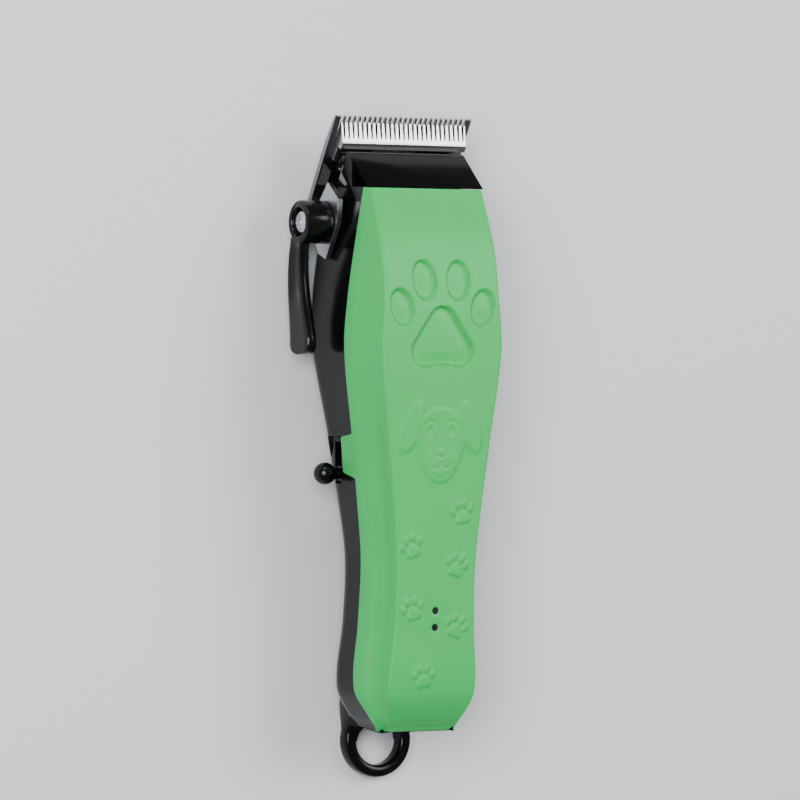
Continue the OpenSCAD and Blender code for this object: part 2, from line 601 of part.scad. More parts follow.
module motor_end_cap() color("white") difference() {
    union() {
        along_y(motor_back, motor_d / 2 - 1, 1.6);
        along_y(motor_back - cap_l + 0.5, motor_d / 2 - 0.4, cap_l - 0.5);
    }
    along_y(motor_back - 0.6, 1 + 3, 10);
    for (s = [-1, 1]) translate([s * terminal_x - 0.5, motor_back - 10, shaft_z - 1.4]) cube([1, 20, 2.8]);
}
terminal_x = 5;
module motor_terminals() color("goldenrod") for (s = [-1, 1])
    translate([s * terminal_x - 0.3, motor_back - cap_l - 3, shaft_z - 1.2]) cube([0.6, cap_l + 4.4, 2.4]);
module motor_clamp() color(steel) difference() {
    union() {
        difference() {
            along_y(clamp_y - 3, motor_d / 2 + 1, 6);
            translate([-40, -60, shaft_z - 40]) cube([80, 100, 40]);
        }
        for (s = [-1, 1]) translate([s * (motor_d / 2 + 3.8) - 3.3, clamp_y - 3, shaft_z]) cube([6.6, 6, 1]);
    }
    along_y(-60, motor_d / 2 + 0.1, 100);
    for (s = [-1, 1]) translate([s * (motor_d / 2 + 4.2), clamp_y, 0]) cylinder(h = 60, r = 1 + clear);
}
module clamp_screws() color(steel) for (s = [-1, 1])
    translate([s * (motor_d / 2 + 4.2), clamp_y, shaft_z + 1]) rotate([180, 0, 0]) pan_screw(8, 1, 1.9, 1);
// A lead that goes straight back from a terminal and turns up to the board.
module lead(x, from_y, from_z, back, top_z, r = 0.5, bend = 1.5) {
    translate([x, from_y - back + bend, from_z]) rotate([-90, 0, 0]) cylinder(h = back - bend, r = r, $fn = 16);
    translate([x, from_y - back, from_z + bend]) cylinder(h = top_z - from_z - bend, r = r, $fn = 16);
    translate([x, from_y - back + bend, from_z + bend]) rotate([0, 90, 0]) rotate([180, 0, 0])
        rotate_extrude(angle = 90, $fn = 24) translate([bend, 0]) circle(r = r, $fn = 16);
}
lead_back = motor_back - cap_l - 3 - board_to + 1;
lead_top = face_z(board_to - 1, board_depth + board_t) - 0.05;
module motor_leads() color("firebrick") for (s = [-1, 1])
    lead(s * terminal_x, motor_back - cap_l - 3 - 0.02, shaft_z, lead_back, lead_top);

// ---- power and control, all in the face's frame
module battery_cell() color("royalblue") face_frame() translate([0, cell_end, -cell_depth]) rotate([-90, 0, 0]) {
    cylinder(h = cell_l - 0.8, r = cell_d / 2 - 0.12);
    cylinder(h = cell_l, r = 3.4);
}
module battery_sleeve() color("royalblue") face_frame() translate([0, cell_end + 0.4, -cell_depth]) rotate([-90, 0, 0])
    difference() {
        cylinder(h = cell_l - 1.4, r = cell_d / 2);
        translate([0, 0, -1]) cylinder(h = cell_l + 2, r = cell_d / 2 - 0.12);
    }
module battery_tabs() color(steel) face_frame() for (y = [cell_end - tab_t, cell_front]) {
    translate([-2.5, y, -cell_depth - 2]) cube([5, tab_t, cell_depth + 2 - board_depth - board_t]);
    translate([-2.5, y, -board_depth - board_t - tab_t]) cube([5, 3, tab_t]);
}
tab_t = 0.25;
module battery_pad() color("dimgray") face_frame() difference() {
    translate([-5, cell_end + 8, -cell_depth - cell_d / 2 - 0.5]) cube([10, cell_l - 30, 2]);
    translate([0, cell_end - 1, -cell_depth]) rotate([-90, 0, 0]) cylinder(h = cell_l + 2, r = cell_d / 2 + 0.02);
}
module circuit_board() color("darkgreen") face_frame() difference() {
    translate([-board_w / 2, board_from, -board_depth - board_t]) cube([board_w, board_to - board_from, board_t]);
    for (p = board_screw_places) translate([p[0], p[1], -20]) cylinder(h = 30, r = 1 + clear);
}
board_screw_places = [[5.2, board_to - 4], [-5.2, board_from + 14]];
module board_screws() color(steel) face_frame() for (p = board_screw_places)
    translate([p[0], p[1], -board_depth - board_t]) pan_screw(board_t + 1.6, 1, 1.7, 0.35);
module control_chip() color(black) face_frame() translate([-2.5, -62, -board_depth]) cube([5, 4, 0.8]);
module status_leds() color("white") face_frame() for (y = light_ys)
    translate([-0.8, y - 0.5, -board_depth]) cube([1.6, 1, 0.7]);
module light_pipe() color("white") face_frame() for (y = light_ys)
    translate([0, y, -board_depth + 0.75]) cylinder(h = board_depth - 0.75 - 0.35, r = light_r - fit_gap);
switch_box = [4, 15, 4];
switch_at = [-12.6, knob_y - 3.4, knob_z - 1.5];
plate_out = 16.8;                       // the outer face of the knob's plate, left of the middle
dish_out = plate_out + run_gap + 1.5;   // the dish's floor, left of the middle
dish_rim = [1.6, 4.4];                  // past each end of the slot, and above its middle
plate_half = [4, 2.7];
ball_r = 3.2;
plate_back = 14.45;
module slide_switch_body() color("silver") difference() {
    translate(switch_at) cube(switch_box);
    translate([switch_at[0] - 1, knob_y - 1.6 - run_gap, knob_z - 1 - run_gap]) cube([2.6, switch_travel + 3.2 + 2 * run_gap, 2 + 2 * run_gap]);
}
module slide_switch_actuator() color(black) translate([-14.4, knob_y - 1.6, knob_z - 1]) cube([3, 3.2, 2]);
module switch_knob() color(black) {
    translate([-knob_out, knob_y - knob_stem[0] / 2, knob_z - knob_stem[1] / 2])
        cube([knob_out - plate_out + 0.2, knob_stem[0], knob_stem[1]]);
    translate([-plate_out, knob_y - plate_half[0], knob_z - plate_half[1]])
        cube([plate_out - plate_back, 2 * plate_half[0], 2 * plate_half[1]]);
    translate([-knob_out, knob_y, knob_z]) rotate(180) sphere(r = ball_r);
}
module switch_leads() color("firebrick") for (i = [0, 1]) let (y = board_to - 2.6 + i * 1.6)
    translate([switch_at[0] + switch_box[0] + 0.02, y, knob_z]) rotate(90)
        lead(0, 0, 0, 2.4, face_z(y, board_depth + board_t) - knob_z - 0.05);
module charging_socket() color(black) translate([0, -handle_l + 0.4, socket_z]) rotate([-90, 0, 0]) {
    difference() {
        cylinder(h = socket_l, r = socket_r);
        translate([0, 0, -1]) cylinder(h = socket_l - 0.8, r = 2.75);
    }
    translate([0, 0, 1]) cylinder(h = socket_l - 1.4, r = 0.65);
}

front_cover();
rear_cover();
nose_cap();
case_screws();
stationary_blade();
moving_blade();
blade_guide();
taper_bracket();
blade_screws();
nut_plate();
taper_lever();
lever_screw();
wave_washer();
lever_insert();
tension_spring();
spring_screws();
swing_arm();
swing_pivot_pin();
drive_bearing();
eccentric_hub();
motor_shaft();
motor_can();
motor_end_cap();
motor_terminals();
motor_clamp();
clamp_screws();
motor_leads();
battery_cell();
battery_sleeve();
battery_tabs();
battery_pad();
circuit_board();
board_screws();
control_chip();
status_leds();
light_pipe();
slide_switch_body();
slide_switch_actuator();
switch_knob();
switch_leads();
charging_socket();
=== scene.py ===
"""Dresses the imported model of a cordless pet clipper: covers, nose, lever, blades and finishes."""

import json
import math

import bpy
import numpy as np
from bpy.props import FloatProperty, PointerProperty, StringProperty
from mathutils import Matrix, Vector

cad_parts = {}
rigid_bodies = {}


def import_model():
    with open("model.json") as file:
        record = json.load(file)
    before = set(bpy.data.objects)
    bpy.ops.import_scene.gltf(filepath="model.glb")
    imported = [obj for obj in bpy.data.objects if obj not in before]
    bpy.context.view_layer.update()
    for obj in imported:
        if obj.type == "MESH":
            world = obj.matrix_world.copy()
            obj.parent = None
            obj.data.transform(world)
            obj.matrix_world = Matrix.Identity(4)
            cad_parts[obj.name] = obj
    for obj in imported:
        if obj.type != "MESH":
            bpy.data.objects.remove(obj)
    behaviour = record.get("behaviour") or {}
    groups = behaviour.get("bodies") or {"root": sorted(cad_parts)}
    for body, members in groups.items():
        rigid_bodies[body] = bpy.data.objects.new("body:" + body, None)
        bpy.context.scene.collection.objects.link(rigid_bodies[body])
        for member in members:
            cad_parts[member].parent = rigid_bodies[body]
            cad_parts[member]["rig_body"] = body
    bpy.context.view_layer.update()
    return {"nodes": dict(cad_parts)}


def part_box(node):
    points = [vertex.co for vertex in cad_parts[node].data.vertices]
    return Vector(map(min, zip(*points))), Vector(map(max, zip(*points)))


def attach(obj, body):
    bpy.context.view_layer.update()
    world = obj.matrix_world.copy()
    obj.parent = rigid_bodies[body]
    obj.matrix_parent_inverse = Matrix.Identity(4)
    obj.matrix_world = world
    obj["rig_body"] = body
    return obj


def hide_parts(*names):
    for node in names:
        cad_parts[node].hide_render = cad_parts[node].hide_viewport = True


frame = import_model()

bl_info = {
    "name": "Pet clipper",
    "version": (1, 0, 0),
    "blender": (4, 5, 0),
    "location": "3D View > Sidebar > Clipper",
    "description": "Models the covers, lever, blades and finishes of a cordless pet clipper",
    "category": "Object",
}

MM = 0.001

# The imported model's own places and sizes, in mm; the tilt is an angle
BLADE_TILT = math.radians(32)
SEAT_TIP = (65.2, 20.9)           # the blade set's seat, along Y and up, at the tips
HUB = (35, 13.2)                  # the lever's turning axis, along Y and up
LIP = (-39.2, -26.2)              # from where to where the front cover's lip reaches down
LIP_DEPTH = 21.5
BACK_CORNER = 6.0
KNOB_Y, KNOB_OUT, KNOB_DEPTH = -36.8, 23.1, 25.5
KNOB_R = 3.2
SLOT = (-2.9, 9.1, 1.9)           # the knob's slot from its middle: back, front and half height
DISH = (-4.5, 10.7, 4.4)          # the dish round the slot, likewise
DISH_OUT = 18.6
EYE_OFF = 3.2                     # the hanging eye's middle, behind the covers' end
SCREW_R = 2.45                    # the case screws' wells


# ---------------------------------------------------------------- sizes and colours
def span(node, axis):
    """Size of a CAD node along an axis, in millimetres."""
    low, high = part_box(node)
    return (high[axis] - low[axis]) / MM


def length(name, description, default):
    """A length property in millimetres."""
    return FloatProperty(name=name, description=description, default=default)


class ClipperSizes(bpy.types.PropertyGroup):
    """Sizes that a user would change, in millimetres unless they are angles."""

    body_w: length("Body width", "Width across the palm swell", span("front_cover", 0))
    waist_w: length("Waist width", "Width where the fingers close", 34.0)
    tail_w: length("Tail width", "Width at the tail flare", 37.0)
    nose_w: length("Nose width", "Width of the cover's top edge", 38.0)
    handle_l: length("Handle length", "From the origin back to the covers' end", 111.0)
    head_l: length("Head length", "From the origin to the covers' top edge", 43.8)
    body_d: length("Body depth", "Depth at the palm swell", 40.0)
    waist_d: length("Waist depth", "Depth at the waist", 28.0)
    face_h: length("Face height", "Height of the front face over the origin", 41.6)
    face_tilt: FloatProperty(name="Face slope", description="Slope of the face towards the tail",
                             default=math.radians(3.3), subtype="ANGLE", unit="ROTATION")
    wall: length("Wall", "Thickness of the covers' walls", 1.6)
    seam: length("Seam", "Gap between the covers", 0.15)
    paw_depth: length("Paw depth", "Depth of the large paw recess", 1.45)
    relief: length("Relief", "Height of the small paws and the emblem", 0.45)
    light_r: length("Light hole", "Radius of the two light holes", 1.05)


class ClipperColours(bpy.types.PropertyGroup):
    """Base colours, as sRGB hex values."""

    cover: StringProperty(name="Cover", description="Green of the front cover", default="22AE52")
    shell: StringProperty(name="Shell", description="Black of the rear cover and nose", default="070708")
    steel: StringProperty(name="Steel", description="Ground blade steel", default="8A8C8F")
    bright: StringProperty(name="Bright steel", description="The moving blade", default="B0B1B4")
    brass: StringProperty(name="Brass", description="Turned brass parts", default="C9A45C")
    floor: StringProperty(name="Floor", description="The floor of the stage", default="D2D4D7")


# ---------------------------------------------------------------- the body's form
def stations(s):
    """Rows of [y, half width at the seam, half width of the flat, depth of front, seam and back]."""
    end = -s.handle_l
    tail, waist, body, nose = s.tail_w / 2, s.waist_w / 2, s.body_w / 2, s.nose_w / 2
    return np.array([
        [end, tail - 6.2, tail - 9.2, 7.8, 9.4, 24],
        [end + 4, tail - 3.4, tail - 6.4, 4, 9.8, s.waist_d - 1],
        [end + 12, tail, tail - 4.2, 0.7, 13.2, s.waist_d],
        [-80, (tail + waist) / 2 - 0.4, waist - 3.9, 0, 14, s.waist_d - 0.5],
        [-62, waist, waist - 4, 0, 14, s.waist_d],
        [-45, waist + 1.6, waist - 2.4, 0, 14.4, s.waist_d + 2.5],
        [-27, body - 3, body - 6.8, 0, 15, s.body_d - 6],
        [-2, body, body - 4, 0, 15.5, s.body_d - 1],
        [13, body - 0.9, body - 4.8, 1, 15.9, s.body_d + 1],
        [28, body - 2.8, body - 4.8, 4.6, 16, s.body_d + 2],
        [s.head_l, nose, nose - 0.8, 12, 15, s.body_d + 3],
    ])


def hermite(table, y):
    """Values of the station table at the places y, on a smooth curve through the stations."""
    at = table[:, 0]
    slope = np.empty_like(table)
    slope[1:-1] = (table[2:] - table[:-2]) / (at[2:] - at[:-2])[:, None]
    slope[0] = (table[1] - table[0]) / (at[1] - at[0])
    slope[-1] = (table[-1] - table[-2]) / (at[-1] - at[-2])
    i = np.clip(np.searchsorted(at, y, side="right") - 1, 0, len(at) - 2)
    h = (at[i + 1] - at[i])[:, None]
    t = ((y - at[i]) / (at[i + 1] - at[i]))[:, None]
    return ((2 * t**3 - 3 * t**2 + 1) * table[i] + (t**3 - 2 * t**2 + t) * h * slope[i]
            + (3 * t**2 - 2 * t**3) * table[i + 1] + (t**3 - t**2) * h * slope[i + 1])


def rounded(corners, radii, counts):
    """A path through corners, each inner corner rounded by a curve, as one array of points."""
    corners = [np.asarray(c, float) for c in corners]
    path = []
    last = corners[0]
    for k in range(1, len(corners)):
        here = corners[k]
        if k == len(corners) - 1:
            path.append(last + (here - last) * np.linspace(0, 1, counts[2 * k - 2] + 1)[:, None])
            break
        after = corners[k + 1]
        back = here - (here - last) / np.linalg.norm(here - last) * radii[k - 1]
        on = here + (after - here) / np.linalg.norm(after - here) * radii[k - 1]
        path.append(last + (back - last) * np.linspace(0, 1, counts[2 * k - 2], endpoint=False)[:, None])
        t = np.linspace(0, 1, counts[2 * k - 1], endpoint=False)[:, None]
        path.append((1 - t) ** 2 * back + 2 * t * (1 - t) * here + t**2 * on)
        last = on
    return np.concatenate(path)


def to_row(s, x, y, depth):
    """Points given along the sloping face and below it, in the frame of the model, in mm."""
    c, n = math.cos(s.face_tilt), math.sin(s.face_tilt)
    return np.stack([x, y * c + depth * n, s.face_h + y * n - depth * c], axis=-1)


# ---------------------------------------------------------------- relief on the front face
def smooth_step(t):
    """An even rise from 0 to 1 with flat ends."""
    t = np.clip(t, 0, 1)
    return t * t * (3 - 2 * t)


def triangle(x, y, top, foot, half):
    """Distance to a triangle on a level foot, negative inside."""
    corners = [(-half, foot), (half, foot), (0, top)]
    near, inside = np.full(np.shape(x), 1e9), np.ones(np.shape(x), bool)
    for (ax, ay), (bx, by) in zip(corners, corners[1:] + corners[:1]):
        ex, ey = bx - ax, by - ay
        t = np.clip(((x - ax) * ex + (y - ay) * ey) / (ex * ex + ey * ey), 0, 1)
        near = np.minimum(near, np.hypot(x - ax - t * ex, y - ay - t * ey))
        inside &= ex * (y - ay) - ey * (x - ax) > 0
    return np.where(inside, -near, near)


def ellipse(x, y, at, radii, lean=0.0):
    """Rough distance to an ellipse's edge, negative inside."""
    a = math.radians(lean)
    u = (x - at[0]) * math.cos(a) + (y - at[1]) * math.sin(a)
    v = -(x - at[0]) * math.sin(a) + (y - at[1]) * math.cos(a)
    k = np.sqrt((u / radii[0]) ** 2 + (v / radii[1]) ** 2)
    return (k - 1) * min(radii)


def blend(a, b, k):
    """The smooth union of two distances."""
    h = np.clip(0.5 + 0.5 * (b - a) / k, 0, 1)
    return b * (1 - h) + a * h - k * h * (1 - h)


def paw(x, y, at, size, lean):
    """Distance to a paw print whose pad is `size` wide, turned by `lean`, negative inside."""
    a = math.radians(lean)
    u = ((x - at[0]) * math.cos(a) + (y - at[1]) * math.sin(a)) / size * 20
    v = (-(x - at[0]) * math.sin(a) + (y - at[1]) * math.cos(a)) / size * 20
    pad = triangle(u, v, 5.6, -2.6, 5.6) - 4.5
    pad = np.maximum(pad, 19.4 - np.hypot(u, v + 26))
    shape = pad
    for side in (-1, 1):
        shape = np.minimum(shape, ellipse(u, v, (side * 5.5, 17.4), (3.8, 5.7), side * -6))
        shape = np.minimum(shape, ellipse(u, v, (side * 13.2, 9.7), (3.7, 5.4), side * -16))
    return shape * size / 20


# The raised paws: across, along, and the lean in degrees
SMALL_PAWS = [(8, -48.8, 12), (-8, -58.3, 22), (6, -63.9, -14), (-7.3, -76.2, 16), (6.3, -81.3, -20),
              (-3.2, -95.6, 4)]


def dog(x, y):
    """Height from 0 to 1 of a plain dog's head, seen from the front: ears, muzzle, nose and eyes."""
    head = blend(ellipse(x, y, (0, -26.5), (8.4, 8.8)), ellipse(x, y, (0, -33), (6, 6.8)), 3)
    ears = np.minimum(*[ellipse(x, y, (side * 9.6, -23.6), (3.5, 8.6), side * 20) for side in (-1, 1)])
    height = 0.75 * smooth_step(-head / 0.8)
    height = np.maximum(height, smooth_step(-ears / 0.8))
    muzzle = ellipse(x, y, (0, -33.2), (5, 4.6))
    height = height + 0.35 * smooth_step(-muzzle / 0.9)
    groove = np.abs(ellipse(x, y, (0, -30.6), (1.9, 1.4))) - 0.25
    mouth = np.maximum(np.abs(ellipse(np.abs(x), y, (1.9, -33.2), (1.9, 2))) - 0.22, y + 33.4)
    eyes = ellipse(np.abs(x), y, (3.5, -24.6), (1, 1.25))
    brow = np.maximum(np.abs(ellipse(np.abs(x), y, (3.5, -24.4), (2.1, 2.6))) - 0.2, -(y + 23.4))
    for cut in (groove, mouth, eyes, brow):
        height = height - 0.6 * smooth_step(0.5 - cut / 0.5) * (head < 0)
    return np.clip(height, 0, 1.2)


def relief(s, x, y):
    """Height of the front face's relief over its plain surface, in mm."""
    big = paw(x, y, (0, 0.6), 20, 0)
    crown = 0.22 * smooth_step((-big - 1.2) / 3)
    height = s.paw_depth * (crown - smooth_step((0.3 - big) / 0.95))
    for px, py, lean in SMALL_PAWS:
        height += s.relief * smooth_step((0.2 - paw(x, y, (px, py - 0.6), 4.4, lean)) / 0.5)
    height += s.relief * dog(x, y)
    for ly in light_places():
        ring = np.hypot(x, y - ly) - s.light_r
        height -= 0.18 * smooth_step(1 - ring / 0.5) * (ring > -0.6)
    return height


def light_places():
    """The two light holes' places along the face."""
    return (-80.6, -75.8)


# ---------------------------------------------------------------- mesh helpers
def active(obj):
    """Selects one object alone and makes it the active one."""
    if bpy.context.mode != "OBJECT":
        bpy.ops.object.mode_set(mode="OBJECT")
    bpy.ops.object.select_all(action="DESELECT")
    obj.select_set(True)
    bpy.context.view_layer.objects.active = obj


def edit(obj, *steps):
    """Runs edit mode steps on all of the object's mesh."""
    active(obj)
    bpy.ops.object.mode_set(mode="EDIT")
    bpy.ops.mesh.select_all(action="SELECT")
    for step in steps:
        step()
    bpy.ops.object.mode_set(mode="OBJECT")


def weld():
    """Merges points that lie on each other."""
    bpy.ops.mesh.remove_doubles(threshold=0.000004)


def outward():
    """Turns every face outward."""
    bpy.ops.mesh.normals_make_consistent(inside=False)


def fill_ends():
    """Closes every open edge loop."""
    bpy.ops.mesh.select_all(action="DESELECT")
    bpy.ops.mesh.select_mode(type="EDGE")
    bpy.ops.mesh.select_non_manifold(extend=False, use_wire=False, use_multi_face=False,
                                     use_non_contiguous=False)
    bpy.ops.mesh.fill_holes(sides=0)
    bpy.ops.mesh.select_all(action="SELECT")


def lofted(name, rings, closed, ends=True):
    """A skin over rings of points in mm: a grid whose rows are laid on the rings."""
    rings = np.asarray(rings, float)
    if closed:
        rings = np.concatenate([rings, rings[:, :1]], axis=1)
    rows, cols = rings.shape[:2]
    bpy.ops.object.select_all(action="DESELECT")
    bpy.ops.mesh.primitive_grid_add(x_subdivisions=cols - 1, y_subdivisions=rows - 1, size=1)
    obj = bpy.context.object
    obj.name = obj.data.name = name
    obj.data.vertices.foreach_set("co", (rings * MM).ravel())
    obj.data.update()
    if closed:
        edit(obj, weld)
        if ends:
            edit(obj, fill_ends)
        edit(obj, outward)
    return obj


def modify(obj, kind, **settings):
    """Adds a modifier and applies it."""
    active(obj)
    m = obj.modifiers.new(kind.title(), kind)
    for key, value in settings.items():
        setattr(m, key, value)
    bpy.ops.object.modifier_apply(modifier=m.name)


def smooth(obj, angle=32):
    """Shades a piece smooth up to an angle between faces, in degrees."""
    active(obj)
    bpy.ops.object.shade_smooth_by_angle(angle=math.radians(angle))


def join(name, *objects):
    """Joins closed pieces that are moulded as one."""
    active(objects[0])
    for o in objects[1:]:
        o.select_set(True)
    bpy.ops.object.join()
    objects[0].name = objects[0].data.name = name
    return objects[0]


def placed(obj, at, axis):
    """Moves a piece that was made round the Z axis to `at` in mm, with its Z along `axis`."""
    turn = Vector(axis).to_track_quat("Z", "Y").to_matrix().to_4x4()
    obj.data.transform(Matrix.Translation(Vector(at) * MM) @ turn)
    return obj


def turned(name, profile, at, axis, steps=64):
    """A turned piece: profile points are (radius, height) in mm from `at` along `axis`."""
    angle = np.linspace(0, 2 * math.pi, steps, endpoint=False)
    rings = [np.stack([r * np.cos(angle), r * np.sin(angle), np.full(steps, h)], axis=-1) for r, h in profile]
    return placed(lofted(name, rings, closed=True), at, axis)


def block(name, low, high):
    """A box between two corners in mm."""
    low, high = np.array(low, float), np.array(high, float)
    bpy.ops.object.select_all(action="DESELECT")
    bpy.ops.mesh.primitive_cube_add(size=1)
    obj = bpy.context.object
    obj.name = obj.data.name = name
    obj.data.transform(Matrix.Translation((low + high) / 2 * MM) @ Matrix.Diagonal((*((high - low) * MM), 1)))
    return obj


def cut(obj, tool):
    """Cuts a tool's shape out of a piece and removes the tool."""
    modify(obj, "BOOLEAN", operation="DIFFERENCE", object=tool, solver="EXACT")
    bpy.data.objects.remove(tool)


def softened(node, width, angle=30, segments=2):
    """A copy of a CAD node with its edges broken, as moulded or ground pieces have them."""
    source = frame["nodes"][node]
    obj = bpy.data.objects.new(node + "_finished", source.data.copy())
    bpy.context.scene.collection.objects.link(obj)
    obj.data.materials.clear()
    edit(obj, weld, lambda: bpy.ops.mesh.dissolve_limited(angle_limit=math.radians(1)))
    modify(obj, "BEVEL", width=width * MM, segments=segments, limit_method="ANGLE",
           angle_limit=math.radians(angle), use_clamp_overlap=True)
    active(obj)
    bpy.ops.object.shade_smooth()
    modify(obj, "WEIGHTED_NORMAL", weight=100, keep_sharp=True)
    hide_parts(node)
    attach(obj, source["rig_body"])
    return obj


def finish_piece(obj, material, body, slot, *nodes):
    """Gives a piece its material and body and hides the CAD nodes it stands for; the slot is not used."""
    obj.data.materials.clear()
    obj.data.materials.append(material)
    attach(obj, body)
    if nodes:
        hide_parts(*nodes)


# ---------------------------------------------------------------- materials
def linear(code):
    """An sRGB hex value as linear red, green, blue and alpha."""
    parts = [int(code[i:i + 2], 16) / 255 for i in (0, 2, 4)]
    return (*[c / 12.92 if c <= 0.04045 else ((c + 0.055) / 1.055) ** 2.4 for c in parts], 1)


def add(tree, kind, inputs=(), **settings):
    """Adds a node, sets its values and links its inputs."""
    node = tree.nodes.new(kind)
    for key, value in settings.items():
        setattr(node, key, value)
    for key, value in dict(inputs).items():
        if isinstance(value, bpy.types.NodeSocket):
            tree.links.new(value, node.inputs[key])
        else:
            node.inputs[key].default_value = value
    return node


def start(name):
    """A new material with its tree, its principled shader and object coordinates in millimetres."""
    made = bpy.data.materials.new(name)
    made.use_nodes = True
    tree = made.node_tree
    shader = tree.nodes["Principled BSDF"]
    where = add(tree, "ShaderNodeTexCoord").outputs["Object"]
    mm = add(tree, "ShaderNodeMapping", {"Vector": where, "Scale": (1000, 1000, 1000)}).outputs["Vector"]
    return made, tree, shader, mm


def tint(tree, shader, base, dark, factor):
    """Base colour that wanders between two close shades."""
    ramp = add(tree, "ShaderNodeMixRGB", {"Fac": factor, "Color1": linear(base), "Color2": linear(dark)})
    tree.links.new(ramp.outputs[0], shader.inputs["Base Color"])


def moulded(name, base, dark, rough, grain, bump, coat=0.0, shine=0.5):
    """A moulded plastic: grain in mm from the tool's texture, slow shade wander, slight roughness change."""
    made, tree, shader, mm = start(name)
    cloud = add(tree, "ShaderNodeTexNoise", {"Vector": mm, "Scale": 0.06, "Detail": 3.0}).outputs["Fac"]
    texture = {"Vector": mm, "Scale": 1 / grain, "Detail": 4.0, "Roughness": 0.6}
    fine = add(tree, "ShaderNodeTexNoise", texture).outputs["Fac"]
    tint(tree, shader, base, dark, cloud)
    limits = {"Value": fine, "To Min": rough - 0.05, "To Max": rough + 0.06}
    spread = add(tree, "ShaderNodeMapRange", limits)
    tree.links.new(spread.outputs["Result"], shader.inputs["Roughness"])
    raised = add(tree, "ShaderNodeBump", {"Height": fine, "Strength": bump, "Distance": 0.0001})
    tree.links.new(raised.outputs["Normal"], shader.inputs["Normal"])
    shader.inputs["IOR"].default_value = 1.46
    shader.inputs["Specular IOR Level"].default_value = shine
    shader.inputs["Coat Weight"].default_value = coat
    shader.inputs["Coat Roughness"].default_value = 0.06
    return made


def metal(name, base, dark, rough, line, stretch, bump):
    """A ground, drawn or plated metal: fine lines `line` mm apart, drawn out along `stretch`."""
    made, tree, shader, mm = start(name)
    drawn = add(tree, "ShaderNodeMapping", {"Vector": mm, "Scale": stretch}).outputs["Vector"]
    texture = {"Vector": drawn, "Scale": 1 / line, "Detail": 3.0}
    lines = add(tree, "ShaderNodeTexNoise", texture).outputs["Fac"]
    cloud = add(tree, "ShaderNodeTexNoise", {"Vector": mm, "Scale": 0.25, "Detail": 2.0}).outputs["Fac"]
    tint(tree, shader, base, dark, cloud)
    spread = add(tree, "ShaderNodeMapRange", {"Value": lines, "To Min": rough - 0.06, "To Max": rough + 0.1})
    tree.links.new(spread.outputs["Result"], shader.inputs["Roughness"])
    raised = add(tree, "ShaderNodeBump", {"Height": lines, "Strength": bump, "Distance": 0.00003})
    tree.links.new(raised.outputs["Normal"], shader.inputs["Normal"])
    shader.inputs["Metallic"].default_value = 1.0
    return made


def make_materials(c):
    """All finishes, by name."""
    along_y, along_x, every = (1, 0.06, 1), (0.06, 1, 1), (1, 1, 1)
    return {
        # ABS with a fine spark-eroded grain: a soft satin sheen that breaks up highlights
        "cover": moulded("green_abs_satin_moulded", c.cover, "1EA64C", 0.46, 0.8, 0.5, shine=0.36),
        # ABS from a polished tool: deep black with a clear, slightly wavy reflection
        "shell": moulded("black_abs_gloss_moulded", c.shell, "0A0A0B", 0.14, 6.0, 0.05, shine=0.2),
        "lever": moulded("black_abs_gloss_lever", c.shell, "0A0A0B", 0.18, 3.0, 0.06, shine=0.3),
        "comb": metal("blade_steel_ground", c.steel, "7E8083", 0.3, 0.12, along_y, 0.25),
        "cutter": metal("blade_steel_bright_ground", c.bright, "ABACAF", 0.24, 0.1, along_y, 0.2),
        "bracket": metal("sheet_steel_pressed", "C4C6C9", "A6A8AB", 0.28, 0.2, along_x, 0.15),
        "spring": metal("spring_steel_strip", "8C8D90", "6E6F73", 0.34, 0.2, along_y, 0.15),
        "zinc": metal("zinc_plated_steel", "C9CBCE", "B1B3B7", 0.26, 0.4, every, 0.12),
        "pin": metal("ground_steel_pin", "B7B9BC", "A1A3A6", 0.2, 0.15, every, 0.1),
        "brass": metal("turned_brass", c.brass, "B48F49", 0.28, 0.12, every, 0.15),
        "nickel": metal("nickel_plated_steel", "BDBAB2", "A8A59D", 0.25, 0.6, every, 0.08),
        "acetal": moulded("white_acetal_moulded", "E6E5DE", "DAD9D1", 0.38, 0.8, 0.1),
        "black_acetal": moulded("black_acetal_moulded", "17171A", "1D1D20", 0.42, 0.6, 0.15),
        "pvc": moulded("red_pvc_extruded", "A81E18", "97190F", 0.36, 1.2, 0.1),
        "sleeve": moulded("blue_pvc_shrunk", "1E4C93", "1A4385", 0.22, 4.0, 0.15),
        "foam": moulded("grey_foam_cut", "3B3B3E", "2E2E31", 0.9, 0.35, 0.8),
        "board": moulded("green_solder_mask", "0E5530", "0C4A2A", 0.3, 0.5, 0.2),
        "chip": moulded("black_epoxy_moulded", "1A1A1C", "202022", 0.5, 0.3, 0.3),
        "lamp": moulded("white_led_moulded", "EFEEDD", "E4E3D2", 0.3, 0.5, 0.05),
        "pipe": moulded("smoked_acrylic_moulded", "1C2420", "161C19", 0.12, 3.0, 0.03, 0.5),
    }


# ---------------------------------------------------------------- the covers' skins
def lip_share(y):
    """How far the front cover reaches down beside the switch: 0 outside, 1 along the lip."""
    return smooth_step((y - LIP[0]) / 1.6) * smooth_step((LIP[1] - y) / 1.6)


def seam_depths(s, table, y, side, gap):
    """Depth of a cover's edge on a side: -1 is the switch's side."""
    p = hermite(table, y)[:, 4] + gap
    return p + (LIP_DEPTH + gap - p) * lip_share(y) if side < 0 else p


def front_section(row, deep):
    """Half a section of the front cover, from its edge to the middle: x from the middle, depth.

    Along the handle the wide bevel is scooped for the fingers; at the head it is straight."""
    y, w, f, t, p, _ = row
    g, h = w - f, p - t
    scoop = float(smooth_step((18 - y) / 55))
    waist = (-f - g * (0.52 - 0.47 * scoop), t + (0.42 + 0.08 * scoop) * h)
    side = [(-w, deep), (-w + 0.1, t + 0.8 * h), waist, (-f, t), (0, t)]
    return rounded(side, (0.16 * h, 0.17 * h, min(0.9, 0.14 * h)), (5, 6, 6, 6, 4, 4, 34))


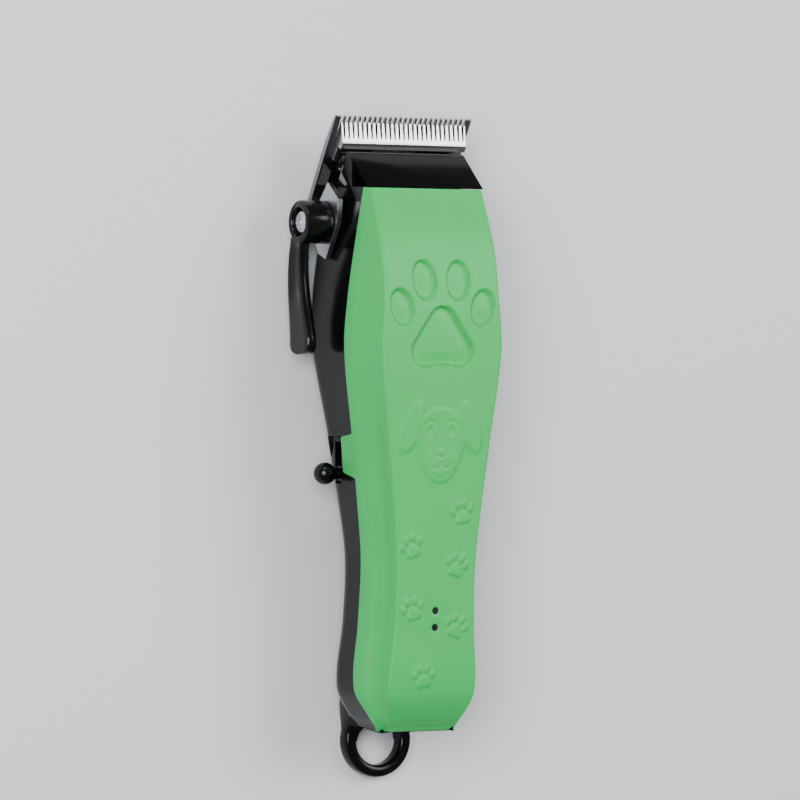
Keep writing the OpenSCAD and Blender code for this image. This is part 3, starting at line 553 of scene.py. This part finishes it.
def back_section(row, deep):
    """Half a section of the rear cover, from its edge to the middle: x from the middle, depth."""
    _, w, _, _, p, b = row
    r = min(BACK_CORNER, b - p - 1)
    return rounded([(-w, deep), (-w + 0.5, b), (0, b)], (r,), (12, 22, 16))


def skin(s, section, gap, step, bulge=0.0):
    """Rings of a cover in the frame of the model, from the tail's closing to the head."""
    table = stations(s)
    ys = np.arange(-s.handle_l + 1.2, s.head_l + step / 2, (s.handle_l + s.head_l - 1.2) / round(157 / step))
    rows = hermite(table, ys)
    left = seam_depths(s, table, ys, -1, gap)
    right = seam_depths(s, table, ys, 1, gap)
    rings = []
    for y, row, dl, dr in zip(ys, rows, left, right):
        a, b = section(row, dl), section(row, dr)[-2::-1].copy()
        b[:, 0] *= -1
        ring = np.concatenate([a, b])
        rings.append(np.stack([ring[:, 0], np.full(len(ring), y), ring[:, 1]], axis=-1))
    first = rings[0]
    closing = []
    for turn in (30, 60, 90):
        a = math.radians(turn)
        ring = first.copy()
        ring[:, 1] = -s.handle_l + 1.2 * (1 - math.sin(a))
        inward = 1.2 * (1 - math.cos(a))
        ring[:, 0] *= 1 - inward / np.abs(first[:, 0]).max()
        ring[:, 2] += np.sign(left[0] - first[:, 2]) * np.minimum(inward, np.abs(left[0] - first[:, 2]))
        closing.append(ring)
    for share in (0.25, 0.5, 0.75, 1):
        ring = closing[2].copy()
        ring[:, 1] -= bulge * math.sin(math.pi * min(share, 0.75) / 1.5)
        ring[:, 2] += (left[0] - ring[:, 2]) * share
        closing.append(ring)
    return np.array(closing[::-1] + rings)


# ---------------------------------------------------------------- operators
class ClipperStep(bpy.types.Operator):
    """Shared by the steps: they read the sizes and the materials."""

    bl_idname = "clipper.step"
    bl_label = "Clipper step"
    bl_options = {"REGISTER", "UNDO"}

    def execute(self, context):
        self.make(context.scene.clipper_sizes, MATERIALS)
        return {"FINISHED"}


class FrontCover(ClipperStep):
    """Moulds the front cover with its paw recess, emblem and small paws"""

    bl_idname = "clipper.front_cover"
    bl_label = "Front cover"

    def make(self, s, m):
        rings = skin(s, front_section, 0, 0.43)
        x, y, depth = rings[..., 0], rings[..., 1], rings[..., 2]
        flat = hermite(stations(s), y[:, 0].clip(-s.handle_l, s.head_l))[:, 2:4]
        on_face = smooth_step((flat[:, :1] - 0.4 - np.abs(x)) / 0.8)
        depth = depth - relief(s, x, y) * on_face
        cover = lofted("front_cover_skin", to_row(s, x, y, depth), closed=False)
        edit(cover, weld)
        modify(cover, "SOLIDIFY", thickness=s.wall * MM, offset=-1)
        for ly in light_places():
            at = to_row(s, np.array(0.0), np.array(ly), np.array(3.0))
            away = (0, -math.sin(s.face_tilt), math.cos(s.face_tilt))
            cut(cover, turned("light_hole", ((s.light_r, 0), (s.light_r, 6)), at, away, 40))
        edit(cover, outward)
        smooth(cover, 38)
        finish_piece(cover, m["cover"], "housing", "cover_green", "front_cover")


# The neck's sections: along from the covers' end, half width, lowest and highest
NECK = [(-3.4, 10.7, 0.3, 4.7), (-1, 10.9, 0.3, 5.4), (1.5, 11.3, 0.4, 7.5), (4, 12.2, 0.7, 11),
        (8, 13.6, 2.2, 15), (12, 14.6, 5.2, 17), (15, 14.2, 8, 17)]


class RearCover(ClipperStep):
    """Moulds the rear cover, its loop, the rest land, the screw wells and the switch's slot"""

    bl_idname = "clipper.rear_cover"
    bl_label = "Rear cover"

    def make(self, s, m):
        rings = skin(s, back_section, s.seam, 0.8, bulge=0.4)
        place = to_row(s, rings[..., 0], rings[..., 1], rings[..., 2])
        # the underside of the head is cut to the blade set's seat
        seat = SEAT_TIP[1] - (SEAT_TIP[0] - place[..., 1]) * math.tan(BLADE_TILT)
        place[..., 2] = np.maximum(place[..., 2], np.minimum(seat, 24))
        shell = lofted("rear_cover_skin", place[:, ::-1], closed=False)
        edit(shell, weld)
        modify(shell, "SOLIDIFY", thickness=s.wall * MM, offset=-1)
        edit(shell, outward)
        knob = knob_place(s)
        for name, (back, front, half), inner in (("slot", SLOT, -10), ("dish", DISH, -DISH_OUT)):
            low = (-40, knob[1] + back, knob[2] - half)
            cut(shell, block(name, low, (inner, knob[1] + front, knob[2] + half)))
        end = -s.handle_l
        cut(shell, turned("inlet", ((3.65, 0), (3.65, 12)), (0, end - 5, socket_z(s)), (0, 1, 0), 48))
        screws = [(side * x, y, z, deep) for x, y, z, deep in ((16.1, 22, 4.6, 20), (9.8, end + 6.6, 8.4, 14))
                  for side in (1, -1)]
        for x, y, _, deep in screws:
            cut(shell, turned("well", ((SCREW_R, 0), (SCREW_R, deep)), (x, y, -4), (0, 0, 1), 40))
        smooth(shell, 35)
        land = block("land", (-9, -11, 0), (9, 11, 3.2))
        modify(land, "BEVEL", width=0.8 * MM, segments=3)
        wells = [tube("well_wall", 3.3, SCREW_R, (x, y, z), 9) for x, y, z, _ in screws]
        profile = ((2.5, 0.2), (2.5, 0), (4.4, 0), (4.6, 0.2), (4.6, 6))
        boss = turned("boss", profile, (-21.2, *HUB), (1, 0, 0))
        rear = join("rear_cover_skin", shell, land, boss, self.loop(s), self.neck(s), *wells)
        smooth(rear, 35)
        finish_piece(rear, m["shell"], "housing", "shell_black", "rear_cover")

    def loop(self, s):
        """The hanging ring, with a rounded section."""
        turn = np.linspace(0, 2 * math.pi, 96, endpoint=False)
        around = np.linspace(0, 2 * math.pi, 28, endpoint=False)
        c, n = np.cos(around), np.sin(around)
        across = 9.05 + 1.85 * np.sign(c) * np.abs(c) ** 0.55
        high = 2.5 + 2.5 * np.sign(n) * np.abs(n) ** 0.55
        y = -s.handle_l - EYE_OFF
        rings = [np.stack([across * math.cos(a), y + across * math.sin(a), high], axis=-1) for a in turn]
        rings.append(rings[0])
        return lofted("loop", rings, closed=True, ends=False)

    def neck(self, s):
        """The web from the ring's full width up into the tail, with the eye cut through."""
        end = -s.handle_l
        around = np.linspace(0, 2 * math.pi, 48, endpoint=False)
        c, n = np.cos(around), np.sin(around)
        rings = []
        for y, w, low, high in NECK:
            x = w * np.sign(c) * np.abs(c) ** 0.4
            z = (low + high) / 2 + (high - low) / 2 * np.sign(n) * np.abs(n) ** 0.5
            rings.append(np.stack([x, np.full(48, end + y), z], axis=-1))
        web = lofted("neck", rings, closed=True)
        cut(web, turned("eye", ((7.2, 0), (7.2, 9), (6.2, 16)), (0, end - EYE_OFF, -1), (0, 0, 1), 96))
        return web


def knob_place(s):
    """The middle of the switch knob's slot end, in mm."""
    z = s.face_h + KNOB_Y * math.tan(s.face_tilt) - KNOB_DEPTH / math.cos(s.face_tilt)
    return (-KNOB_OUT, KNOB_Y, z)


def socket_z(s):
    """The charging inlet's height, in mm."""
    return s.face_h - s.handle_l * math.tan(s.face_tilt) - 19.6 / math.cos(s.face_tilt)


def tube(name, outer, inner, at, high):
    """A short tube that stands on `at`."""
    return turned_ring(name, ((inner, 0), (outer, 0), (outer, high), (inner, high)), at, (0, 0, 1))


def turned_ring(name, profile, at, axis, steps=48):
    """A turned piece with a hole: the profile closes on itself."""
    angle = np.linspace(0, 2 * math.pi, steps, endpoint=False)
    rings = [np.stack([r * np.cos(angle), r * np.sin(angle), np.full(steps, h)], axis=-1)
             for r, h in (*profile, profile[0])]
    return placed(lofted(name, rings, closed=True, ends=False), at, axis)


class Nose(ClipperStep):
    """Breaks the edges of the nose's ramp"""

    bl_idname = "clipper.nose"
    bl_label = "Nose"

    def make(self, s, m):
        nose = softened("nose_cap", 0.35, segments=3)
        finish_piece(nose, m["shell"], "housing", "shell_black", "nose_cap")


class Blades(ClipperStep):
    """Grinds the blade set and presses the taper bracket"""

    bl_idname = "clipper.blades"
    bl_label = "Blade set"

    def make(self, s, m):
        for node, width, finish, slot in (
            ("stationary_blade", 0.12, "comb", "blade_steel"),
            ("moving_blade", 0.1, "cutter", "cutter_steel"),
            ("taper_bracket", 0.15, "bracket", "bracket_steel"),
            ("tension_spring", 0.06, "spring", "spring_steel"),
            ("blade_guide", 0.2, "acetal", "guide_acetal"),
        ):
            piece = softened(node, width)
            finish_piece(piece, m[finish], piece["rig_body"], slot, node)


class Lever(ClipperStep):
    """Moulds the taper lever with its hub, ribbed arm, paddle and cam"""

    bl_idname = "clipper.lever"
    bl_label = "Taper lever"

    def make(self, s, m):
        profile = ((1.55, 3.2), (4, 3.2), (4, 0.5), (4.25, 0.12), (4.6, 0), (5, 0.25), (5.3, 0.3),
                   (5.6, 0.1), (6, 0.35), (6.2, 0.9), (6.2, 8), (1.55, 8))
        hub = turned_ring("hub", profile, (-31.4, *HUB), (1, 0, 0), 96)
        # the cam's middle lies its throw off the axis, measured in the blades' plane
        throw, cam_turn = 1.6, math.radians(-20)
        cy, cz = -throw * math.sin(cam_turn), -throw * math.cos(cam_turn)
        c, n = math.cos(BLADE_TILT), math.sin(BLADE_TILT)
        profile = ((1.55, 0), (4.2, 0), (4.4, 0.2), (4.4, 2.4), (4.2, 2.6), (1.55, 2.6))
        at = (-24.1, HUB[0] + cy * c - cz * n, HUB[1] + cy * n + cz * c)
        cam = turned_ring("cam", profile, at, (1, 0, 0), 96)
        lever = join("taper_lever_moulded", hub, cam, self.arm())
        smooth(lever, 35)
        finish_piece(lever, m["lever"], "lever", "lever_black", "taper_lever")

    def arm(self):
        """The arm and its paddle: an outer face with a rib along each edge."""
        rings = []
        count = 72
        for i in range(count + 1):
            t = 0.13 + i / count
            u = min(t, 1)
            dip = 3 * math.sin(math.pi * u**0.85) ** 1.2 * (1 - 0.15 * u) if u < 1 else 0
            mid = (HUB[0] - t * 33.5, HUB[1] - dip)
            half = 4.6 - 6 * u if u < 0.2 else 3.5 + 2.3 * ((u - 0.2) / 0.8) ** 1.4
            past = min(1.0, max(0.0, (t - 1) / 0.13))
            half *= max(0.02, 1 - past**4) ** 0.5
            rings.append(self.ring(mid, max(half, 0.12), u))
        return lofted("arm", rings, closed=True)

    def ring(self, mid, half, u):
        """A closed section across the arm: outer face with a groove, rounded edges, flat inner face."""
        across = (0.15, 0.4, 0.62, 0.8, 0.92, 0.99, 1, 0.97, 0.85, 0.6, 0.2)
        inward = (0.95, 0.75, 0.2, 0.1, 0.35, 1, 2.2, 2.9, 3.3, 3.4, 3.4)
        n = np.array([*[-v for v in across[-2::-1]], *across, -across[-1]])
        x = np.array([*inward[-2::-1], *inward, inward[-1]])
        fade = smooth_step((0.8 - u) / 0.35) * smooth_step((u - 0.15) / 0.1)
        x = np.where((np.abs(n) < 0.7) & (x < 2), 0.1 + (x - 0.1) * fade, x)
        return np.stack([-31.5 + x, np.full(len(n), mid[0]), mid[1] + n * half], axis=-1)


class Knob(ClipperStep):
    """Turns the switch's ball knob and its stem"""

    bl_idname = "clipper.knob"
    bl_label = "Switch knob"

    def make(self, s, m):
        at = knob_place(s)
        angle = [math.radians(a) for a in range(8, 142, 6)]
        ball = [(KNOB_R * math.sin(a), KNOB_R - KNOB_R * math.cos(a)) for a in angle]
        profile = [(0.05, 0), *ball, (1.75, 6.1), (1.65, 6.8), (1.58, 8.5)]
        knob = turned("knob", profile, (at[0] - KNOB_R, at[1], at[2]), (1, 0, 0), 56)
        plate = softened("switch_knob", 0.12)
        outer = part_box("switch_knob")[0][0] / MM
        trim = block("trim", (-60, -60, -20), (outer + 8, 0, 60))
        cut(plate, trim)
        knob = join("switch_knob_moulded", knob, plate)
        smooth(knob, 35)
        finish_piece(knob, m["lever"], "switch_slide", "knob_black", "switch_knob")


class Screws(ClipperStep):
    """Makes the lever's cross-recessed screw"""

    bl_idname = "clipper.screws"
    bl_label = "Screws"

    def make(self, s, m):
        at = (-31, *HUB)
        profile = ((0.05, 0), (1.2, 0.03), (2.2, 0.14), (2.9, 0.38), (3.3, 0.75), (3.4, 1.1), (3.4, 2.2),
                   (1.5, 2.2), (1.5, 13))
        head = turned("head", profile, at, (1, 0, 0), 64)
        for long in (0, 1):
            half = (0.5, 2.15) if long else (2.15, 0.5)
            tool = block("cross", (at[0] - 1, at[1] - half[0], at[2] - half[1]),
                         (at[0] + 1.0, at[1] + half[0], at[2] + half[1]))
            cut(head, tool)
        modify(head, "BEVEL", width=0.05 * MM, segments=2, limit_method="ANGLE", angle_limit=math.radians(50))
        smooth(head, 35)
        finish_piece(head, m["zinc"], "housing", "screw_zinc", "lever_screw")
        head.name = "lever_screw_turned"


# The inner pieces, each with its finish
INNER = {
    "case_screws": "zinc", "blade_screws": "zinc", "nut_plate": "bracket", "wave_washer": "spring",
    "lever_insert": "brass", "spring_screws": "zinc", "swing_arm": "acetal", "swing_pivot_pin": "pin",
    "drive_bearing": "pin", "eccentric_hub": "brass", "motor_shaft": "pin", "motor_can": "zinc",
    "motor_end_cap": "black_acetal", "motor_terminals": "brass", "motor_clamp": "bracket",
    "clamp_screws": "zinc", "motor_leads": "pvc", "battery_cell": "nickel", "battery_sleeve": "sleeve",
    "battery_tabs": "nickel", "battery_pad": "foam", "circuit_board": "board", "board_screws": "zinc",
    "control_chip": "chip", "status_leds": "lamp", "light_pipe": "pipe", "slide_switch_body": "nickel",
    "slide_switch_actuator": "black_acetal", "switch_leads": "pvc", "charging_socket": "black_acetal",
}


class Inner(ClipperStep):
    """Gives the inner pieces their finishes"""

    bl_idname = "clipper.inner"
    bl_label = "Inner pieces"

    def make(self, s, m):
        for node, finish in INNER.items():
            mesh = frame["nodes"][node].data
            mesh.materials.clear()
            mesh.materials.append(m[finish])


class Stage(ClipperStep):
    """Lays the floor and sets the lights and the camera"""

    bl_idname = "clipper.stage"
    bl_label = "Stage"

    def make(self, s, m):
        bpy.ops.object.select_all(action="DESELECT")
        bpy.ops.mesh.primitive_plane_add(size=6)
        floor = bpy.context.object
        floor.name = "floor"
        made, tree, shader, mm = start("floor_paper")
        shader.inputs["Base Color"].default_value = linear(bpy.context.scene.clipper_colours.floor)
        shader.inputs["Roughness"].default_value = 0.9
        floor.data.materials.append(made)
        for name, at, size, power, shade in LAMPS:
            bpy.ops.object.light_add(type="AREA", location=at)
            lamp = bpy.context.object
            lamp.name = name
            lamp.data.shape = "RECTANGLE"
            lamp.data.size, lamp.data.size_y = size
            lamp.data.energy = power
            lamp.data.color = shade
            lamp.rotation_euler = (Vector((0, -0.02, 0.02)) - Vector(at)).to_track_quat("-Z", "Y").to_euler()
        world = bpy.context.scene.world or bpy.data.worlds.new("studio")
        bpy.context.scene.world = world
        world.use_nodes = True
        back = world.node_tree.nodes["Background"]
        back.inputs["Color"].default_value = (0.93, 0.96, 1, 1)
        back.inputs["Strength"].default_value = 0.2
        aim = Vector((0, -15.8, 17)) * MM
        toward = Vector((-0.5, 0, math.sqrt(0.75)))
        bpy.ops.object.camera_add(location=aim + toward * 1.5)
        camera = bpy.context.object
        camera.name = "camera"
        side = Vector((0, 1, 0)).cross(toward)
        camera.rotation_euler = Matrix((side, (0, 1, 0), toward)).transposed().to_euler()
        camera.data.lens = 234.8
        camera.data.sensor_width = 36
        camera.data.clip_end = 20
        bpy.context.scene.camera = camera


# The lamps: name, place in m, size in m, watts and shade
LAMPS = [
    ("key_lamp", (0.6, 0.3, 0.8), (0.6, 0.6), 10.5, (1, 0.985, 0.96)),
    ("fill_lamp", (-0.7, 0.1, 0.9), (0.6, 0.6), 17.5, (0.96, 0.98, 1)),
    ("head_lamp", (-0.3, 0.9, 0.6), (0.5, 0.3), 2.5, (1, 1, 1)),
]


class ClipperPanel(bpy.types.Panel):
    """Sizes, colours and steps of the clipper"""

    bl_idname = "VIEW3D_PT_clipper"
    bl_label = "Pet clipper"
    bl_space_type = "VIEW_3D"
    bl_region_type = "UI"
    bl_category = "Clipper"

    def draw(self, context):
        for group in (context.scene.clipper_sizes, context.scene.clipper_colours):
            for key in type(group).__annotations__:
                self.layout.prop(group, key)
        for step in STEPS:
            self.layout.operator(step.bl_idname)


STEPS = (FrontCover, RearCover, Nose, Blades, Lever, Knob, Screws, Inner, Stage)
CLASSES = (ClipperSizes, ClipperColours, *STEPS, ClipperPanel)
MATERIALS = {}


def register():
    for made in CLASSES:
        bpy.utils.register_class(made)
    bpy.types.Scene.clipper_sizes = PointerProperty(type=ClipperSizes)
    bpy.types.Scene.clipper_colours = PointerProperty(type=ClipperColours)


def unregister():
    del bpy.types.Scene.clipper_colours
    del bpy.types.Scene.clipper_sizes
    for made in reversed(CLASSES):
        bpy.utils.unregister_class(made)


def main():
    register()
    MATERIALS.update(make_materials(bpy.context.scene.clipper_colours))
    for step in STEPS:
        group, name = step.bl_idname.split(".")
        getattr(getattr(bpy.ops, group), name)()


if __name__ == "__main__":
    main()
